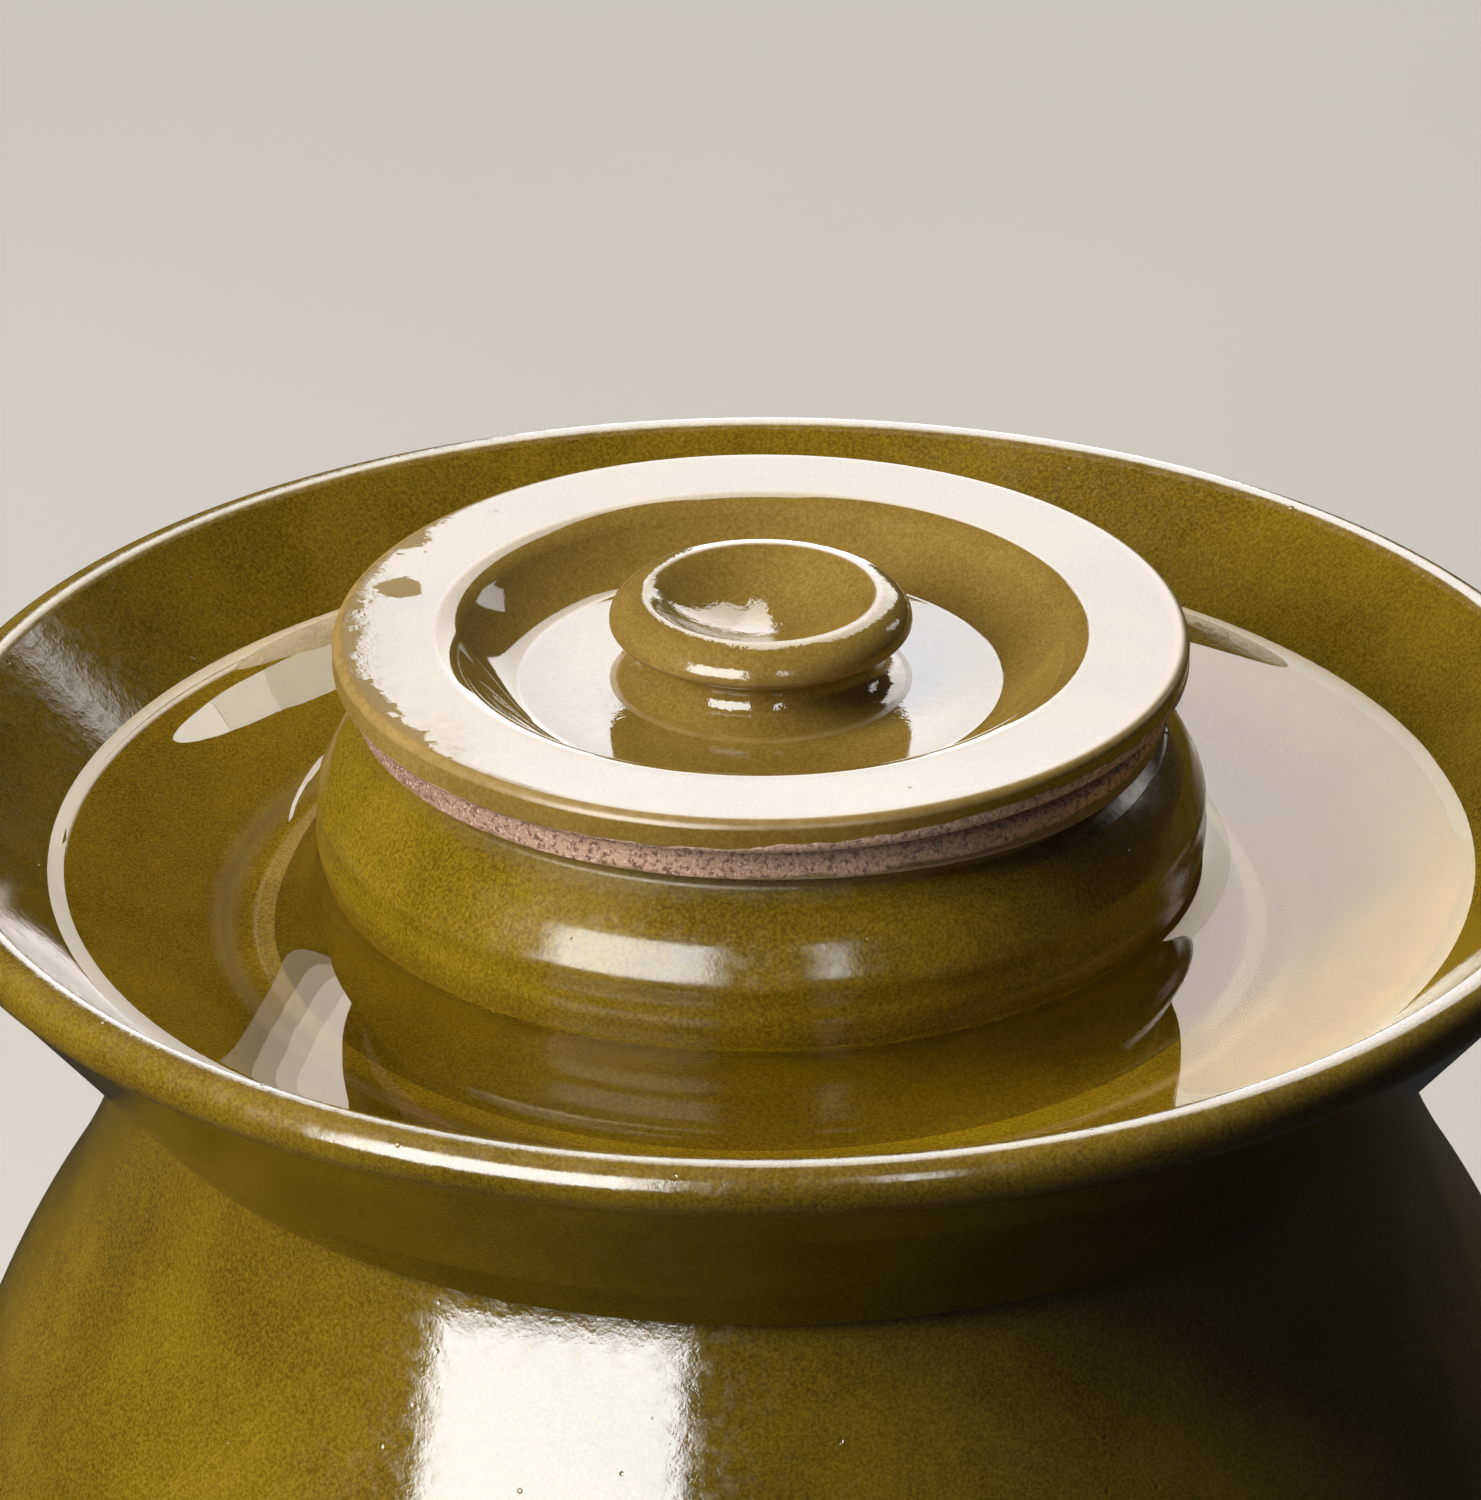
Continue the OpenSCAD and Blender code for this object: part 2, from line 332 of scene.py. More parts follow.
def lip_bead():
    centre = (TRAY_R - LIP_W / 2, TRAY_TOP - LIP_H / 2)
    return bead(centre, LIP_W / 2, LIP_H / 2, -LIP_UNDER, LIP_INNER)


def tray_inside():
    """Inside of the tray from the lip down to the floor of the moat."""
    top = lip_bead()[-1]
    root = (MOAT_FLOOR_R, NECK_Z + ROOT_STEP)
    foot = (root[0] + TRAY_ROOT_RUN, root[1] + TRAY_ROOT_RISE)
    return joined(
        line(top, foot, CURVE_STEPS),
        corner_curve(foot, (root[0] + TRAY_ROOT_RUN / 2, root[1]), root),
        line(root, (ROOT_R, root[1])),
    )


def tray_profile():
    lip = lip_bead()
    round_end = arc((NECK_R, NECK_Z + TRAY_ROUND), TRAY_ROUND, -90, -TRAY_LEAN)
    return joined(
        round_end, line(round_end[-1], lip[0], CURVE_STEPS), lip, tray_inside(), [(ROOT_R, NECK_Z)]
    )


def water_profile():
    """The water fills the moat from the collar to the tray, and climbs both a little."""
    collar = [p for p in shifted(collar_outside(), -WETTING) if p[1] < WATER_Z + COLLAR_CLIMB]
    tray = [p for p in shifted(tray_inside(), -WETTING) if p[1] < WATER_Z + TRAY_CLIMB]
    inner = on_line(collar[-2], collar[-1], WATER_Z + COLLAR_CLIMB)
    outer = on_line(tray[1], tray[0], WATER_Z + TRAY_CLIMB)
    surface = []
    for i in range(4 * CURVE_STEPS + 1):
        share = 0.5 - 0.5 * cos(pi * i / (4 * CURVE_STEPS))
        r = outer[0] + (inner[0] - outer[0]) * share
        at_collar = COLLAR_CLIMB * exp(-(r - inner[0]) / CLIMB_REACH)
        at_tray = TRAY_CLIMB * exp(-(outer[0] - r) / CLIMB_REACH)
        surface.append((r, WATER_Z + at_collar + at_tray))
    return joined(tray[::-1], surface, collar[::-1])


def lid_profile():
    under = LID_TOP - WELL_DEPTH - WELL_FLOOR
    taper_r = SKIRT_R - SKIRT_TAPER
    edge = LID_EDGE_ROUND
    floor_r = WELL_R - WELL_SLOPE
    well_edge, well_foot = (WELL_R, LID_TOP), (floor_r + WELL_SLOPE / 3, KNOB_FOOT)
    lip_point = on_line(well_edge, well_foot, LID_TOP - 0.7 * WELL_LIP)
    return joined(
        line((0, under), (taper_r - SKIRT_ROUND, under)),
        corner_curve((taper_r - SKIRT_ROUND, under), (taper_r, under), (taper_r, under + SKIRT_ROUND)),
        line((taper_r, under + SKIRT_ROUND), (SKIRT_R, RIM_Z)),
        line((SKIRT_R, RIM_Z), (LID_R - edge, RIM_Z)),
        arc((LID_R - edge, RIM_Z + edge), edge, -90, 0),
        arc((LID_R - edge, LID_TOP - edge), edge, 0, 90),
        line((LID_R - edge, LID_TOP), (WELL_R + WELL_LIP, LID_TOP)),
        corner_curve((WELL_R + WELL_LIP, LID_TOP), well_edge, lip_point, CORNER_PULL, CURVE_STEPS),
        corner_curve(lip_point, well_foot, (floor_r, KNOB_FOOT), ROUND_PULL, CURVE_STEPS),
        line((floor_r, KNOB_FOOT), (0, KNOB_FOOT)),
    )


def knob_profile():
    wide_z = KNOB_FOOT + KNOB_SHARE * KNOB_H
    stem_z = KNOB_FOOT + STEM_SHARE * KNOB_H
    root = (STEM_R + STEM_FLARE, KNOB_FOOT + KNOB_STEP)
    dish_edge = (CREST_R - CREST_W, KNOB_TOP - CREST_DROP)
    bowl_depth = DISH_DEPTH - CREST_DROP
    bowl_r = (dish_edge[0] ** 2 + bowl_depth**2) / (2 * bowl_depth)
    bowl_angle = asin(dish_edge[0] / bowl_r)
    crest_q = (dish_edge[0] + CREST_DROP / tan(bowl_angle), KNOB_TOP)
    return joined(
        [(0, KNOB_FOOT), (root[0], KNOB_FOOT)],
        corner_curve(root, (STEM_R, root[1]), (STEM_R, stem_z)),
        upright_curve((STEM_R, stem_z), (KNOB_R, wide_z)),
        corner_curve((KNOB_R, wide_z), (KNOB_R, KNOB_TOP), (CREST_R, KNOB_TOP), CORNER_PULL, CURVE_STEPS),
        corner_curve((CREST_R, KNOB_TOP), crest_q, dish_edge),
        arc((0, KNOB_TOP - DISH_DEPTH + bowl_r), bowl_r, degrees(bowl_angle) - 90, -90, CURVE_STEPS),
    )


def warp(angle):
    """How much of the warp there is at an angle: 1 in its middle and 0 far from it."""
    return exp(-(((degrees(angle) - WARP_AT) / WARP_WIDE) ** 2))


def jar_shape(r, angle, z):
    """A point of the jar, with the slow wobble of a wall that was turned by hand, always inwards."""
    off = 0.5 + 0.3 * cos(2 * angle + 0.9 + 5 * z) + 0.2 * cos(3 * angle - 1.3 + 9 * z)
    r -= JAR_WOBBLE * off * r / BELLY_R
    if r < RIM_R and z > RIM_Z - DIP_REACH:
        z -= RIM_DIP * warp(angle) * (1 - (RIM_Z - z) / DIP_REACH)
    return r * cos(angle), r * sin(angle), z


def lid_shape(r, angle, z):
    """A point of the lid, which dried a little out of round and lifted off the rim on one side."""
    r -= LID_WOBBLE * (0.5 + 0.5 * cos(2 * angle - 0.6)) * r / LID_R
    if r > SKIRT_R and z >= RIM_Z:
        out = (r - SKIRT_R) / (LID_R - SKIRT_R)
        down = (LID_TOP - z) / (LID_TOP - RIM_Z)
        z += WARP_RISE * out * down * warp(angle)
    return r * cos(angle), r * sin(angle), z


def bends(profile):
    """How sharply each point above the moat's floor bends outwards: 0 on a wall and 1 on an edge."""
    raw = []
    for i, p in enumerate(profile):
        before, after = profile[i - 1], profile[(i + 1) % len(profile)]
        a = (p[0] - before[0], p[1] - before[1])
        b = (after[0] - p[0], after[1] - p[1])
        lengths = hypot(*a), hypot(*b)
        turn = asin(max(-1, min(1, (a[0] * b[1] - a[1] * b[0]) / (lengths[0] * lengths[1]))))
        raw.append(2 * turn / (lengths[0] + lengths[1]))
    soft = [(raw[i - 1] + raw[i] + raw[(i + 1) % len(raw)]) / 3 for i in range(len(raw))]
    thin = [max(0, min(1, (v - BEND_FROM) / (BEND_TO - BEND_FROM))) for v in soft]
    return [v if p[1] > NECK_Z + TRAY_ROOT_RISE else 0 for v, p in zip(thin, profile)]


def revolve(name, profile, shape, material, body, node):
    """A closed surface turned round Z from (radius, height) points, which go up outside and down inside."""
    points, rings, edges = [], [], []
    for (r, z), bend in zip(profile, bends(profile)):
        sides = SEGMENTS if r > 1e-7 else 1
        rings.append([len(points) + j % sides for j in range(SEGMENTS)])
        points += [shape(r, 2 * pi * j / SEGMENTS, z) for j in range(sides)]
        edges += [bend] * sides
    faces = []
    closed = profile[0][0] > 1e-7
    count = len(rings) if closed else len(rings) - 1
    for i in range(count):
        low, high = rings[i], rings[(i + 1) % len(rings)]
        for j in range(SEGMENTS):
            k = (j + 1) % SEGMENTS
            corners = [low[j], low[k], high[k], high[j]]
            face = [v for n, v in enumerate(corners) if v != corners[n - 1]]
            if len(face) > 2:
                faces.append(face)
    mesh = bpy.data.meshes.new(name)
    mesh.from_pydata(points, [], faces)
    mesh.attributes.new("edge", "FLOAT", "POINT").data.foreach_set("value", edges)
    mesh.validate()
    mesh.shade_smooth()
    mesh.set_sharp_from_angle(angle=radians(SHARP))
    mesh.materials.append(material)
    piece = bpy.data.objects.new(name, mesh)
    bpy.context.scene.collection.objects.link(piece)
    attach(piece, body)
    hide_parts(node)
    return piece


class Finish:
    """A material's node tree, with short calls that add and link its nodes."""

    def __init__(self, name):
        self.material = bpy.data.materials.new(name)
        self.material.use_nodes = True
        self.tree = self.material.node_tree
        self.tree.nodes.clear()
        self.place = self.node("ShaderNodeTexCoord").outputs["Object"]

    def node(self, kind, **values):
        """A new node. Each value is a property, or an input named with _ for a space: a socket or a constant."""
        made = self.tree.nodes.new(kind)
        for key, value in values.items():
            if hasattr(made, key):
                setattr(made, key, value)
        for key, value in values.items():
            if hasattr(made, key):
                continue
            if key.startswith("input_"):
                socket = made.inputs[int(key[6:])]
            else:
                socket = made.inputs[key.replace("_", " ")]
            if isinstance(value, bpy.types.NodeSocket):
                self.tree.links.new(value, socket)
            else:
                socket.default_value = value
        return made

    def noise(self, scale, detail=2.0, rough=0.5, place=None, lacunarity=2.0):
        made = self.node(
            "ShaderNodeTexNoise", Vector=place or self.place, Scale=scale, Detail=detail,
            Roughness=rough, Lacunarity=lacunarity,
        )
        return made.outputs["Fac"]

    def stretched(self, x, y, z):
        """The place, with each axis scaled."""
        return self.node("ShaderNodeMapping", Vector=self.place, Scale=(x, y, z)).outputs["Vector"]

    def ramp(self, value, low, high, out_low=0.0, out_high=1.0):
        made = self.node(
            "ShaderNodeMapRange", interpolation_type="SMOOTHSTEP", Value=value, From_Min=low, From_Max=high,
            To_Min=out_low, To_Max=out_high,
        )
        return made.outputs["Result"]

    def math(self, operation, a, b=0.0, c=0.0):
        made = self.node("ShaderNodeMath", operation=operation, input_0=a, input_1=b, input_2=c)
        return made.outputs[0]

    def blend(self, factor, a, b):
        made = self.tree.nodes.new("ShaderNodeMix")
        made.data_type = "RGBA"
        for socket, value in ((made.inputs[0], factor), (made.inputs[6], a), (made.inputs[7], b)):
            if isinstance(value, bpy.types.NodeSocket):
                self.tree.links.new(value, socket)
            else:
                socket.default_value = value
        return made.outputs[2]

    def bump(self, height):
        """The normal of a relief, given as its height in metres."""
        return self.node("ShaderNodeBump", Height=height, Strength=1.0, Distance=1.0).outputs["Normal"]

    def times(self, a, b):
        return self.math("MULTIPLY", a, b)

    def plus(self, a, b):
        return self.math("ADD", a, b)

    def wander(self, scale, reach, detail=3.0):
        """A noise that goes from -reach to reach."""
        return self.math("MULTIPLY_ADD", self.noise(scale, detail, 0.6), 2 * reach, -reach)

    def attribute(self, name):
        return self.node("ShaderNodeAttribute", attribute_name=name).outputs["Fac"]

    def reach(self):
        """How far a place is from the axis the jar was turned on."""
        return self.node("ShaderNodeVectorMath", operation="LENGTH", Vector=self.stretched(1, 1, 0)).outputs["Value"]

    def axis(self, letter):
        return self.node("ShaderNodeSeparateXYZ", Vector=self.place).outputs[letter]

    def surface(self, **values):
        shader = self.node("ShaderNodeBsdfPrincipled", **values)
        output = self.node("ShaderNodeOutputMaterial")
        self.tree.links.new(shader.outputs[0], output.inputs["Surface"])
        return shader


def rgb(red, green, blue):
    """A linear colour from 0-255 screen values."""
    def linear(v):
        v /= 255
        return v / 12.92 if v <= 0.04045 else ((v + 0.055) / 1.055) ** 2.4
    return (linear(red), linear(green), linear(blue), 1)


# Glazes: each has a dark ground, the gold that mottles it, and the brown that shows where it is thin
JAR_DARK = rgb(88, 69, 8)
JAR_GOLD = rgb(132, 108, 24)
LID_DARK = rgb(116, 93, 36)
LID_GOLD = rgb(144, 119, 56)
THIN_BROWN = rgb(168, 140, 90)
# The paler colour of a ring round the corner of the moat
POOLED = rgb(152, 130, 88)
# Painted shade: the dark olive that the collar's glaze turns towards below the water
WET_GLAZE = rgb(48, 34, 0)
GLAZE_IOR = 1.7
LID_IOR = 1.6
COLLAR_IOR = 1.52

# Bare clay
CLAY_DARK = rgb(118, 84, 68)
CLAY_MID = rgb(192, 155, 131)
CLAY_WARM = rgb(208, 172, 146)
CLAY_LIGHT = rgb(226, 206, 192)

WATER_IOR = 1.41

# Features per metre, and the depth of each relief in metres
CLOUD_SCALE = 40
MOTTLE_SCALE = 1700
WAVE_SCALE = 60
PEEL_SCALE = 420
FINE_SCALE = 1900
RING_SCALE = 150
PIT_SCALE = 240
GRAIN_SCALE = 1900
DULL_SCALE = 170
RING_DEPTH = 3e-5
GRAIN_DEPTH = 2.4e-4


def glaze_colour(f, dark, gold):
    """Glaze with slow clouds, a fine golden mottle, and brown where it runs thin over an edge."""
    cloud = f.ramp(f.noise(CLOUD_SCALE, 5.0, 0.6), 0.3, 0.7, -0.22, 0.22)
    mottle = f.ramp(f.noise(MOTTLE_SCALE, 3.0, 0.7), 0.28, 0.74)
    ground = f.blend(f.plus(mottle, cloud), dark, gold)
    broken = f.ramp(f.noise(PEEL_SCALE, 4.0, 0.7), 0.3, 0.7, 0.1, 0.5)
    return f.blend(f.times(f.attribute("edge"), broken), ground, THIN_BROWN)


def pits(f):
    """Few small round pits, 1 inside them and 0 outside."""
    cells = f.node("ShaderNodeTexVoronoi", Vector=f.place, Scale=PIT_SCALE)
    rare = f.ramp(f.node("ShaderNodeSeparateColor", Color=cells.outputs["Color"]).outputs[0], 0.72, 0.76)
    return f.times(f.ramp(cells.outputs["Distance"], 0.13, 0.05), rare)


def glaze_relief(f, wave, peel, fine, pit):
    """Height of the glaze: slow waves, orange peel, fine grain, finger rings and pits, each with its depth."""
    rings = f.noise(RING_SCALE, 2.0, place=f.stretched(0.08, 0.08, 1))
    height = f.times(rings, RING_DEPTH if pit else 0.0)
    for scale, depth in ((WAVE_SCALE, wave), (PEEL_SCALE, peel), (FINE_SCALE, fine)):
        height = f.math("MULTIPLY_ADD", f.noise(scale, 3.0, 0.6), depth, height)
    return f.math("MULTIPLY_ADD", pits(f), -pit, height)


def glaze_roughness(f, low, high):
    """Roughness that varies a little, and is higher where the glaze is thin over an edge."""
    even = f.ramp(f.noise(PEEL_SCALE, 3.0), 0.35, 0.7, low, high)
    return f.math("MULTIPLY_ADD", f.attribute("edge"), 0.3, even)


def wet_shine(f):
    """Glaze shines less where water lies on it."""
    return f.ramp(f.axis("Z"), WATER_Z - 0.0015, WATER_Z + 0.0003, 0.09, 0.5)


def jar_material():
    f = Finish("jar_glaze")
    relief = glaze_relief(f, 7e-5, 4.2e-5, 1.1e-5, 8e-5)
    f.surface(
        Base_Color=glaze_colour(f, JAR_DARK, JAR_GOLD), Roughness=glaze_roughness(f, 0.06, 0.16),
        IOR=GLAZE_IOR, Normal=f.bump(relief),
    )
    return f.material


def tray_material():
    """The jar's glaze, which is paler in a ring round the corner of the moat."""
    f = Finish("tray_glaze")
    relief = glaze_relief(f, 7e-5, 4.2e-5, 1.1e-5, 8e-5)
    reach = f.plus(f.reach(), f.wander(45, 0.0012))
    inner, outer = f.ramp(reach, POOL_R - 0.0035, POOL_R), f.ramp(reach, POOL_R + 0.0035, POOL_R)
    inside = f.ramp(f.axis("Z"), NECK_Z + 0.012, NECK_Z + 0.006)
    moat = f.ramp(f.reach(), MOAT_EDGE - 0.001, MOAT_EDGE)
    left = f.ramp(f.axis("X"), 0.03, -0.03)
    moat_shine = f.math("MAXIMUM", wet_shine(f), f.times(f.times(moat, left), 0.5))
    # A paler ring round the corner of the moat, under the water
    pooled = f.times(f.times(f.times(inner, outer), inside), 0.5)
    f.surface(
        Base_Color=f.blend(pooled, glaze_colour(f, JAR_DARK, JAR_GOLD), POOLED),
        Roughness=glaze_roughness(f, 0.06, 0.16), Specular_IOR_Level=moat_shine,
        IOR=GLAZE_IOR, Normal=f.bump(relief),
    )
    return f.material


def lid_material():
    """Glaze that is nearly flat on top, uneven round the knob's foot, and stops short of the lid's underside."""
    f = Finish("lid_glaze")
    reach = f.reach()
    near_knob = f.ramp(reach, 0.036, 0.024)
    calm = glaze_relief(f, 1.2e-5, 6e-6, 1.2e-6, 0.0)
    rough = f.times(f.noise(PEEL_SCALE, 3.0, 0.6), f.times(near_knob, 9e-5))
    margin = f.times(f.ramp(reach, 0.0595, 0.0695), f.ramp(f.axis("X"), -0.036, -0.058))
    off_spot = f.node("ShaderNodeVectorMath", operation="DISTANCE", input_0=f.place, input_1=LID_SPOT).outputs["Value"]
    patchy = f.plus(margin, f.ramp(off_spot, 0.0056, 0.001, 0.0, 1.3))
    dull = f.ramp(f.math("MULTIPLY_ADD", patchy, 0.33, f.noise(DULL_SCALE, 5.0, 0.7)), 0.70, 0.73)
    uneven = f.times(f.noise(PEEL_SCALE, 3.0, 0.6), f.times(patchy, 1.2e-5))
    side = f.math("ARCTAN2", f.axis("Y"), f.axis("X"))
    facing = f.math("COSINE", f.math("SUBTRACT", side, radians(WARP_AT)))
    stop = f.plus(f.ramp(facing, 0.2, 1.0, RIM_Z + 0.0009, RIM_Z + 0.0031), f.wander(130, 0.0011))
    over = f.ramp(f.math("SUBTRACT", stop, f.axis("Z")), -0.0002, 0.0002)
    outside = f.ramp(reach, SKIRT_R - 0.001, SKIRT_R)
    bare = f.times(over, outside)
    clay, grain = clay_colour(f)
    relief = f.plus(f.plus(f.plus(calm, rough), uneven), f.times(grain, f.times(bare, GRAIN_DEPTH)))
    f.surface(
        Base_Color=f.blend(bare, glaze_colour(f, LID_DARK, LID_GOLD), clay),
        Roughness=f.plus(f.plus(f.times(bare, 0.7), f.times(dull, 0.45)), glaze_roughness(f, 0.03, 0.07)),
        Specular_IOR_Level=f.ramp(dull, 0.0, 1.0, 0.5, 0.12), IOR=LID_IOR, Normal=f.bump(relief),
    )
    return f.material


def clay_colour(f):
    """Bare stoneware with dark and light grains, darker towards -X as painted shade. Gives the colour and the grain's
    height.
    """
    grain = f.noise(GRAIN_SCALE, 3.0, 0.7)
    coarse = f.noise(GRAIN_SCALE / 2, 3.0, 0.7)
    fresh = f.blend(f.ramp(f.noise(60, 3.0), 0.35, 0.65), CLAY_MID, CLAY_WARM)
    # Painted shade: the clay is mixed towards its dark colour towards -X
    body = f.blend(f.ramp(f.axis("X"), -0.018, -0.058, 0.0, 0.6), fresh, CLAY_DARK)
    speckled = f.blend(f.ramp(coarse, 0.52, 0.36), body, CLAY_DARK)
    return f.blend(f.ramp(grain, 0.56, 0.68), speckled, CLAY_LIGHT), grain


def clay_material(name):
    f = Finish(name)
    colour, grain = clay_colour(f)
    f.surface(Base_Color=colour, Roughness=0.85, IOR=1.45, Normal=f.bump(f.times(grain, GRAIN_DEPTH)))
    return f.material


def collar_material():
    """Glaze up to the band, and bare clay above it. The edge of the glaze wanders. Below the water the glaze is
    darkened as painted shade.
    """
    f = Finish("collar_glaze")
    edge = f.plus(f.axis("Z"), f.wander(110, 0.0016))
    bare = f.ramp(edge, RIM_Z - BAND_H - 0.0004, RIM_Z - BAND_H + 0.0005)
    dry = f.ramp(edge, RIM_Z - CUT_DROP - 0.003, RIM_Z - CUT_DROP + 0.001, 0.0, 0.35)
    clay, grain = clay_colour(f)
    dry_glaze = glaze_colour(f, JAR_DARK, JAR_GOLD)
    # Painted shade: below the water line the collar's glaze is mixed towards a dark olive
    glaze = f.blend(f.ramp(f.axis("Z"), WATER_Z + 0.0012, WATER_Z - 0.0008, 0.0, 0.55), dry_glaze, WET_GLAZE)
    relief = f.plus(glaze_relief(f, 5e-5, 2.6e-5, 1.1e-5, 6e-5), f.times(grain, f.times(bare, GRAIN_DEPTH)))
    f.surface(
        Base_Color=f.blend(bare, glaze, clay), Roughness=f.plus(f.plus(f.times(bare, 0.4), dry), glaze_roughness(f, 0.14, 0.24)),
        Specular_IOR_Level=wet_shine(f), IOR=COLLAR_IOR, Normal=f.bump(relief),
    )
    return f.material


def water_material():
    f = Finish("still_water")
    ripple = f.times(f.noise(35, 1.0), 1.6e-5)
    f.surface(
        Base_Color=rgb(252, 247, 216), Roughness=0.0, IOR=WATER_IOR, Transmission_Weight=1.0,
        Specular_Tint=(1.0, 0.75, 0.4, 1), Normal=f.bump(ripple),
    )
    return f.material


def area_light(name, place, away, width, height, radiance, colour):
    """A softbox at a place. Its back looks along away."""
    data = bpy.data.lights.new(name, "AREA")
    data.shape = "RECTANGLE"
    data.size, data.size_y = width, height
    data.energy = radiance * pi * width * height
    data.color = colour
    light = bpy.data.objects.new(name, data)
    light.location = place
    light.rotation_euler = away.to_track_quat("Z", "Y").to_euler()
    light.visible_camera = False
    bpy.context.scene.collection.objects.link(light)
    return light


def panel(name, facing, azimuths, elevations, radiance, colour, turned=0.0):
    """A softbox in the upright plane that faces AIM from one azimuth, filling these angles seen from AIM.
    Azimuth 0 is +Y and turns towards +X. The softbox is turned in its plane, clockwise for the jar."""
    left, right = (PANEL_AWAY * tan(radians(a - facing)) for a in azimuths)
    low, high = (PANEL_AWAY * tan(radians(e)) for e in elevations)
    a = radians(facing)
    away, along = Vector((sin(a), cos(a), 0)), Vector((cos(a), -sin(a), 0))
    place = AIM + PANEL_AWAY * away + (left + right) / 2 * along + Vector((0, 0, (low + high) / 2))
    light = area_light(name, place, away, right - left, high - low, radiance, colour)
    light.rotation_euler = (Matrix.Rotation(radians(turned), 3, away) @ light.rotation_euler.to_matrix()).to_euler()
    return light


def soft_key(name, azimuth, elevation, distance, side, radiance, colour):
    """A square softbox that faces AIM and isn't seen in the glaze."""
    a, e = radians(azimuth), radians(elevation)
    away = Vector((sin(a) * cos(e), cos(a) * cos(e), sin(e)))
    light = area_light(name, AIM + distance * away, away, side, side, radiance, colour)
    light.visible_glossy = False
    return light


def add_camera():
    yaw, pitch, roll = radians(CAMERA_YAW), radians(CAMERA_PITCH), radians(CAMERA_ROLL)
    forward = Vector((sin(yaw) * cos(pitch), cos(yaw) * cos(pitch), -sin(pitch)))
    level = Vector((cos(yaw), -sin(yaw), 0))
    upright = level.cross(forward)
    right = level * cos(roll) + upright * sin(roll)
    up = upright * cos(roll) - level * sin(roll)
    data = bpy.data.cameras.new("camera")
    data.lens = CAMERA_LENS
    data.sensor_width = CAMERA_SENSOR
    camera = bpy.data.objects.new("camera", data)
    turn = Matrix((right, up, -forward)).transposed().to_4x4()
    camera.matrix_world = Matrix.Translation(CAMERA_PLACE) @ turn
    bpy.context.scene.collection.objects.link(camera)
    bpy.context.scene.camera = camera


CAMERA_PLACE = (0, -1.3067, 0.9733)
CAMERA_YAW = -0.146
CAMERA_PITCH = 26.27
CAMERA_ROLL = -0.174
CAMERA_LENS = 216
CAMERA_SENSOR = 36

add_camera()

jar_glaze = jar_material()
lid_glaze = lid_material()

revolve("body_thrown", body_profile(), jar_shape, jar_glaze, "jar", "jar_body")
revolve("foot_turned", foot_profile(), jar_shape, clay_material("bare_clay"), "jar", "foot_ring")
revolve("collar_thrown", collar_profile(), jar_shape, collar_material(), "jar", "mouth_collar")
revolve("tray_thrown", tray_profile(), jar_shape, tray_material(), "jar", "water_tray")
moat_water = revolve("moat_water", water_profile(), jar_shape, water_material(), "jar", "seal_water")
moat_water.visible_shadow = False
revolve("lid_thrown", lid_profile(), lid_shape, lid_glaze, "lid", "lid_plate")
revolve("knob_thrown", knob_profile(), lid_shape, lid_glaze, "lid", "lid_knob")

# Floor: a pale sheet that the glaze doesn't mirror
FLOOR_R = 1.6
FLOOR_SIDES = 96
floor_mesh = bpy.data.meshes.new("floor")
ring = [2 * pi * i / FLOOR_SIDES for i in range(FLOOR_SIDES)]
floor_mesh.from_pydata([(FLOOR_R * cos(a), FLOOR_R * sin(a), 0) for a in ring], [], [list(range(FLOOR_SIDES))])
floor = bpy.data.objects.new("floor", floor_mesh)
floor.visible_glossy = False
floor.visible_diffuse = False
bpy.context.scene.collection.objects.link(floor)
paper = Finish("pale_paper")
paper_colour = paper.blend(paper.noise(3.0, 2.0), rgb(196, 193, 186), rgb(204, 201, 194))
paper.surface(Base_Color=paper_colour, Roughness=0.9)
floor_mesh.materials.append(paper.material)

# Light
AIM = Vector((0, 0, 0.33))
PANEL_AWAY = 3.0
WARM_WHITE = (1.0, 0.96, 0.92)
WATER_WHITE = (1.0, 0.944, 0.972)
LID_WHITE = (0.93, 0.945, 1.0)
COOL_WHITE = (0.97, 0.985, 1.0)
BACK = 1.5
SLANT = -25.5
TONGUE = 25
panel("back_low", BACK, (-4.06, 4.3), (-6, 26.3), 5.0, LID_WHITE)
panel("back_middle", BACK, (-4.06, 4.3), (26.3, 27.0), 5.4, LID_WHITE)
panel("back_high", BACK, (-3.0, 4.3), (27.0, 31.0), 6.2, LID_WHITE)
panel("back_right", BACK, (4.3, 8), (-6, 31.0), 5.35, WATER_WHITE)
panel("back_top", BACK, (-4.6, 8), (31.0, 60), 5.8, WARM_WHITE)
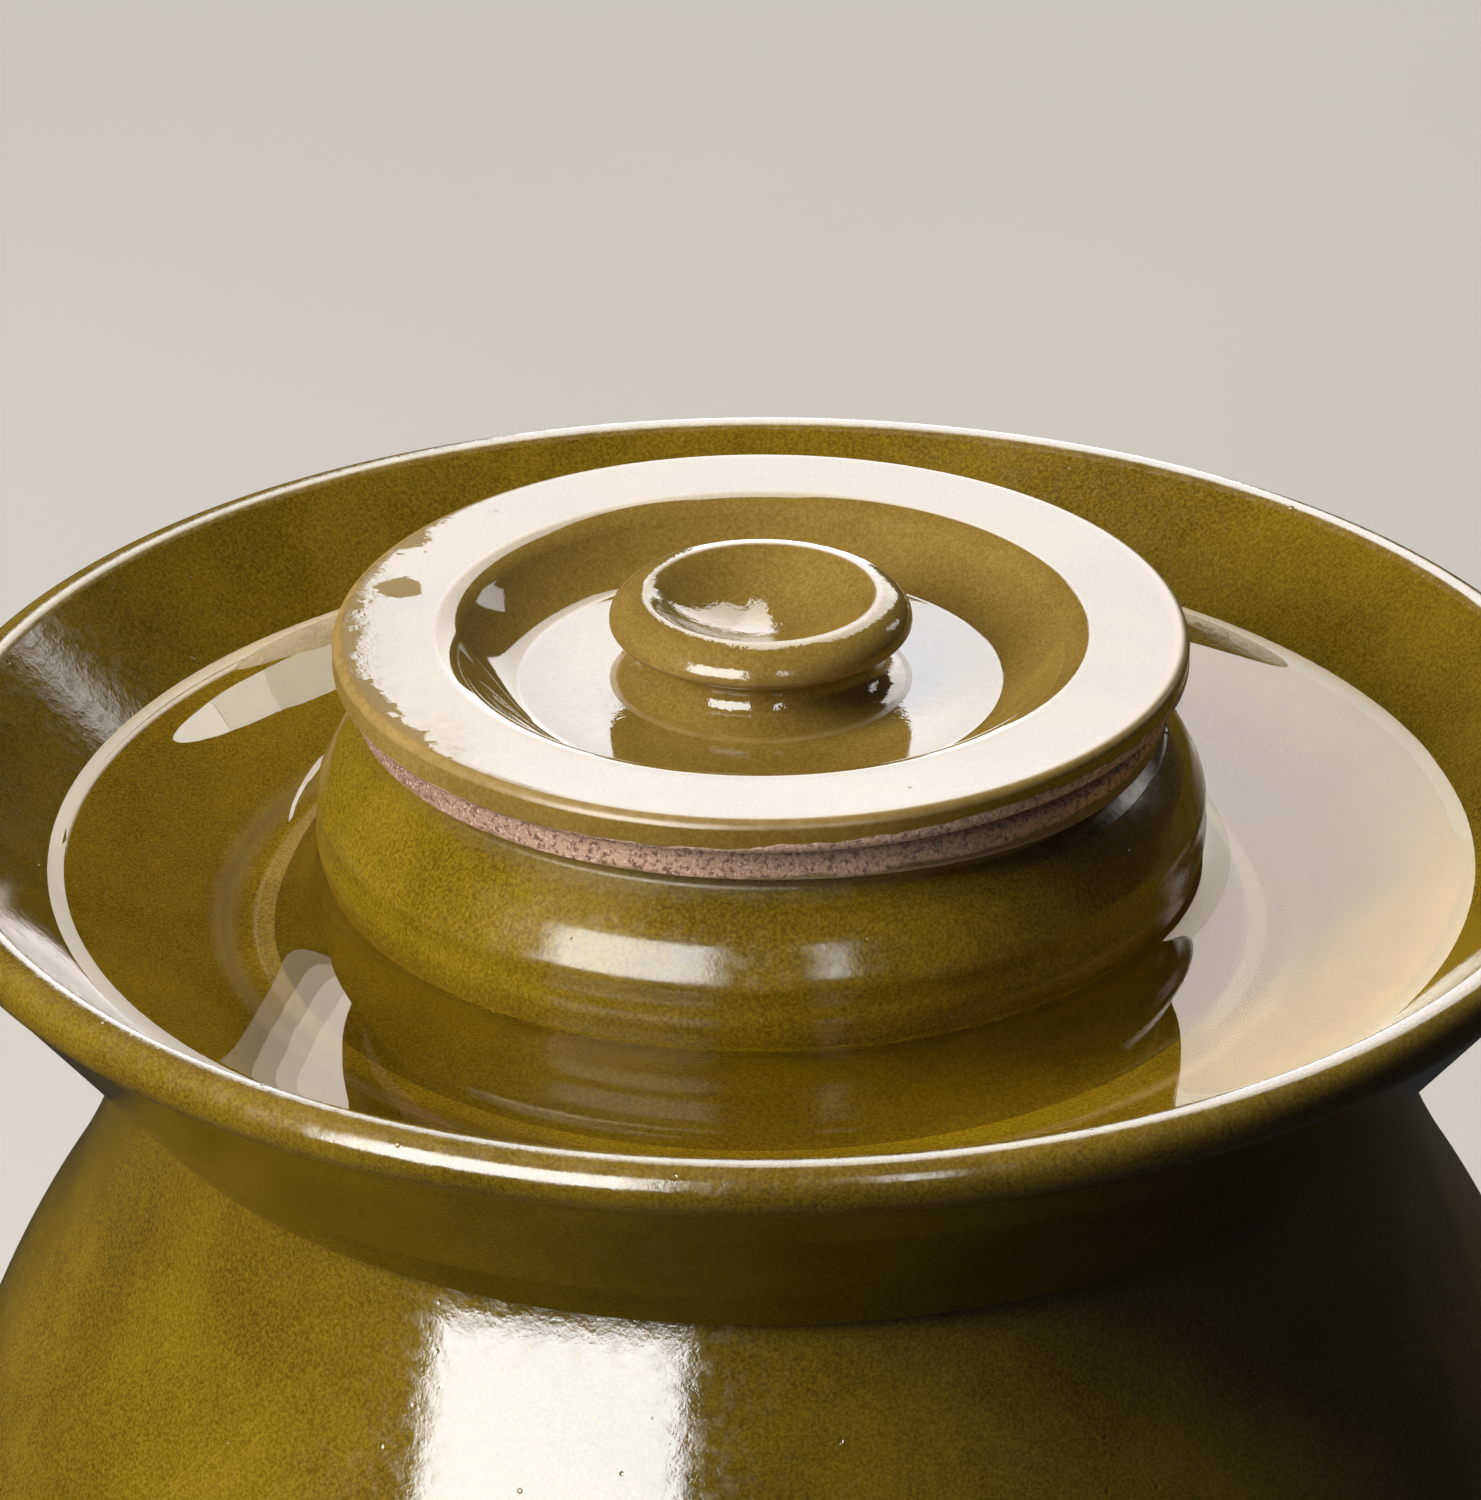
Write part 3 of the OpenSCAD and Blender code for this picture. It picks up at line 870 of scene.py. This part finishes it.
panel("back_slant", BACK, (-4.94, -3.63), (27.06, 31.00), 5.6, WATER_WHITE, SLANT)
panel("back_soft", BACK, (-5.09, -4.86), (26.80, 30.75), 4.2, WATER_WHITE, SLANT)
panel("back_softer", BACK, (-5.29, -5.07), (26.72, 30.68), 2.6, WATER_WHITE, SLANT)
panel("back_softest", BACK, (-5.50, -5.27), (26.64, 30.61), 1.2, WATER_WHITE, SLANT)
panel("tongue_left", BACK, (-6.34, -5.40), (25.47, 25.75), 6.0, LID_WHITE, TONGUE)
panel("tongue_middle", BACK, (-5.50, -4.94), (25.08, 25.49), 4.8, LID_WHITE, TONGUE)
panel("tongue_right", BACK, (-5.04, -4.15), (24.71, 25.24), 3.6, LID_WHITE, TONGUE)
panel("right_near", 19, (8, 25), (12, 50), 4.4, WARM_WHITE)
panel("right_far", 49, (44, 54), (16.5, 28), 3.2, WARM_WHITE)
window = panel("front_window", 213.5, (192.5, 234.5), (-8, 38), 12.5, COOL_WHITE)
window.visible_diffuse = False
soft_key("left_key", 238, 27, 2.2, 1.1, 16.5, WARM_WHITE)
soft_key("top_key", 250, 60, 2.0, 1.0, 7.8, WARM_WHITE)
NEAR_PLACE = Vector((0.128, -0.41, 0.53))
near_strip = area_light("near_strip", NEAR_PLACE, (NEAR_PLACE - AIM).normalized(), 0.042, 0.19, 9.0, COOL_WHITE)
near_strip.visible_diffuse = False

# Fill: dim on the jar, and pale where the camera looks past the floor
FILL = 0.03
PALE = 0.6
world = bpy.data.worlds.new("studio")
world.use_nodes = True
sky = world.node_tree.nodes
sky["Background"].inputs["Color"].default_value = (0.95, 0.97, 1.0, 1)
seen = sky.new("ShaderNodeLightPath").outputs["Is Camera Ray"]
strength = sky.new("ShaderNodeMath")
strength.operation = "MULTIPLY_ADD"
strength.inputs[1].default_value = PALE - FILL
strength.inputs[2].default_value = FILL
world.node_tree.links.new(seen, strength.inputs[0])
world.node_tree.links.new(strength.outputs[0], sky["Background"].inputs["Strength"])
bpy.context.scene.world = world
bpy.context.scene.view_settings.view_transform = "Standard"
